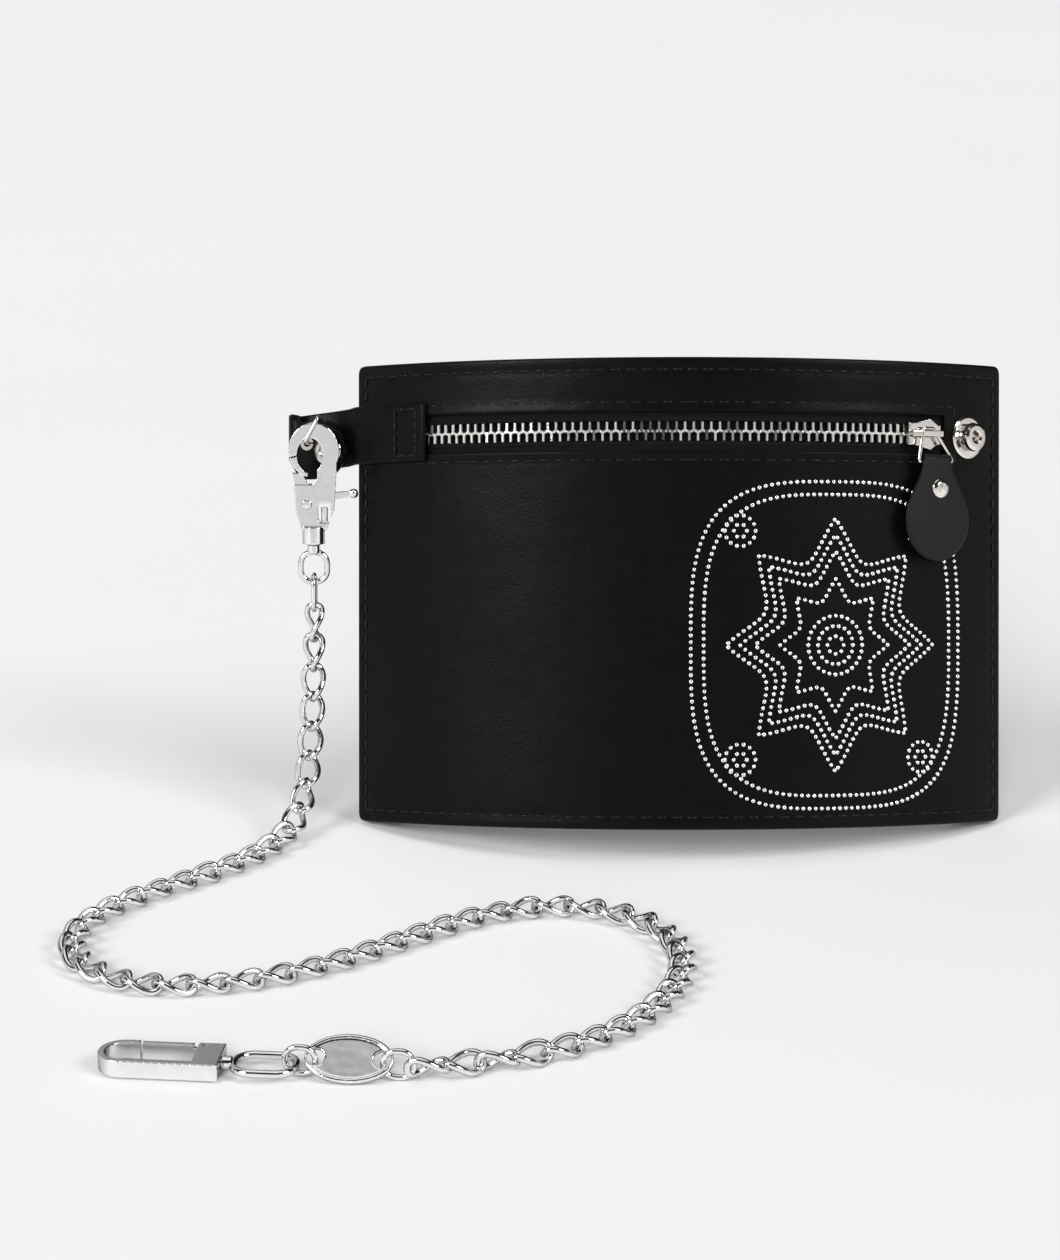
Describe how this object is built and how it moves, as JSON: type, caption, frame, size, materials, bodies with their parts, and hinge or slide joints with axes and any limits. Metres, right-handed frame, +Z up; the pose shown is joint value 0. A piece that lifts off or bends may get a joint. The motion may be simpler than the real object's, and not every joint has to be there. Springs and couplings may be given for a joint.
{
  "type": "chain wallet",
  "caption": "Bi-fold leather wallet standing open, with a zipped outer pocket, a snap strap, a trigger hook, and a curb chain with a tag and a gated belt clip.",
  "frame": {"origin": "on the ground, under the middle of the box of the wallet with its strap and trigger hook, without the chain and its far end", "axes": "+X along the open wallet from the strap to the snap stud, +Y from its outer face to its card pockets, +Z up; the wallet leans back 16.5 degrees"},
  "size_m": [0.2527, 0.215, 0.1343],
  "materials": {
    "outer_leather": "smooth semi-gloss black",
    "inner_leather": "smooth satin black",
    "lining": "matte black woven",
    "zip_tape": "matte black herringbone tape",
    "zip_metal": "polished nickel",
    "snap_metal": "polished nickel",
    "polished_metal": "polished chrome",
    "chain_metal": "polished nickel plate"
  },
  "bodies": {
    "wallet_left": {"cover_left": "outer_leather", "binding_left": "outer_leather", "pocket_lining_left": "lining", "inner_panel_left": "inner_leather", "card_pocket_left_upper": "inner_leather", "card_pocket_left_middle": "inner_leather", "card_pocket_left_lower": "inner_leather", "zip_tape_left": "zip_tape", "zip_teeth_left": "zip_metal", "strap_base": "outer_leather", "strap_free": "outer_leather", "strap_fold": "outer_leather", "chain": "chain_metal", "tag_link": "chain_metal", "tag": "polished_metal", "end_link": "chain_metal", "clip_swivel": "polished_metal"},
    "spine": {"cover_spine": "outer_leather", "spine_lining": "lining", "zip_tape_spine": "zip_tape", "zip_teeth_spine": "zip_metal"},
    "wallet_right": {"cover_right": "outer_leather", "binding_right": "outer_leather", "pocket_lining_right": "lining", "inner_panel_right": "inner_leather", "card_pocket_right_upper": "inner_leather", "card_pocket_right_middle": "inner_leather", "card_pocket_right_lower": "inner_leather", "zip_tape_right": "zip_tape", "zip_teeth_right": "zip_metal", "zip_stop": "zip_metal", "snap_stud": "snap_metal", "snap_stud_back": "snap_metal"},
    "zip_slider": {"zip_slider": "zip_metal", "zip_slider_back": "zip_metal"},
    "zip_bail": {"zip_bail": "zip_metal"},
    "pull_tab": {"pull_front": "outer_leather", "pull_back": "outer_leather", "pull_core": "outer_leather", "pull_rivet": "snap_metal"},
    "strap_flap": {"strap_flap": "outer_leather", "strap_eyelet": "snap_metal", "snap_socket": "snap_metal", "snap_cap": "snap_metal", "strap_ring": "snap_metal"},
    "trigger_hook": {"hook_body": "polished_metal", "hook_rivet": "polished_metal", "hook_spring": "polished_metal"},
    "hook_lever": {"hook_lever": "polished_metal"},
    "swivel_eye": {"hook_eye": "polished_metal", "first_link": "chain_metal"},
    "belt_clip": {"clip_frame": "polished_metal", "clip_pin": "polished_metal"},
    "clip_gate": {"clip_gate": "polished_metal"}
  },
  "joints": [
    {"name": "fold_left", "type": "hinge", "parent": "wallet_left", "child": "spine", "pos_m": [0.00102, -0.03678, 0.01073], "axis": [0, 0.284, 0.9588], "range_deg": [0, 64]},
    {"name": "fold_right", "type": "hinge", "parent": "spine", "child": "wallet_right", "pos_m": [0.01886, -0.03678, 0.01073], "axis": [0, 0.284, 0.9588], "range_deg": [0, 64]},
    {"name": "zip_travel", "type": "hinge", "parent": "wallet_right", "child": "zip_slider", "pos_m": [0.00994, 0.11728, 0.07773], "axis": [0, 0.284, 0.9588], "range_deg": [-59, 0]},
    {"name": "bail_lift", "type": "hinge", "parent": "zip_slider", "child": "zip_bail", "pos_m": [0.07758, 0.00786, 0.11051], "axis": [-0.8605, -0.4885, 0.1447], "range_deg": [0, 28]},
    {"name": "pull_swing", "type": "hinge", "parent": "zip_bail", "child": "pull_tab", "pos_m": [0.07999, 0.00691, 0.10229], "axis": [-0.8605, -0.4885, 0.1447], "range_deg": [0, 33]},
    {"name": "strap_unfold", "type": "hinge", "parent": "wallet_left", "child": "strap_flap", "pos_m": [-0.09687, 0.02858, 0.09983], "axis": [0, -0.284, -0.9588], "range_deg": [0, 118]},
    {"name": "hook_swing", "type": "hinge", "parent": "strap_flap", "child": "trigger_hook", "pos_m": [-0.09466, 0.02123, 0.10451], "axis": [0, 0.9903, -0.1392], "range_deg": [-4, 34]},
    {"name": "lever_press", "type": "hinge", "parent": "trigger_hook", "child": "hook_lever", "pos_m": [-0.09456, 0.01881, 0.08728], "axis": [0, 0.9903, -0.1392], "range_deg": [0, 13], "stiffness_Nm_per_rad": 0.01, "springref_deg": -14.32},
    {"name": "eye_swivel", "type": "hinge", "parent": "trigger_hook", "child": "swivel_eye", "pos_m": [-0.09276, 0.01706, 0.0748], "axis": [0, 0.1392, 0.9903], "continuous": true},
    {"name": "clip_swivel", "type": "hinge", "parent": "wallet_left", "child": "belt_clip", "pos_m": [-0.10556, -0.16849, 0.0026], "axis": [-0.995, 0.0995, 0], "continuous": true},
    {"name": "gate_press", "type": "hinge", "parent": "belt_clip", "child": "clip_gate", "pos_m": [-0.10749, -0.16368, 0.0026], "axis": [0, 0, 1], "range_deg": [0, 24], "stiffness_Nm_per_rad": 0.01, "springref_deg": -14.32}
  ],
  "couplings": [
    {"joint": "fold_right", "follows": "fold_left", "ratio": 1}
  ]
}
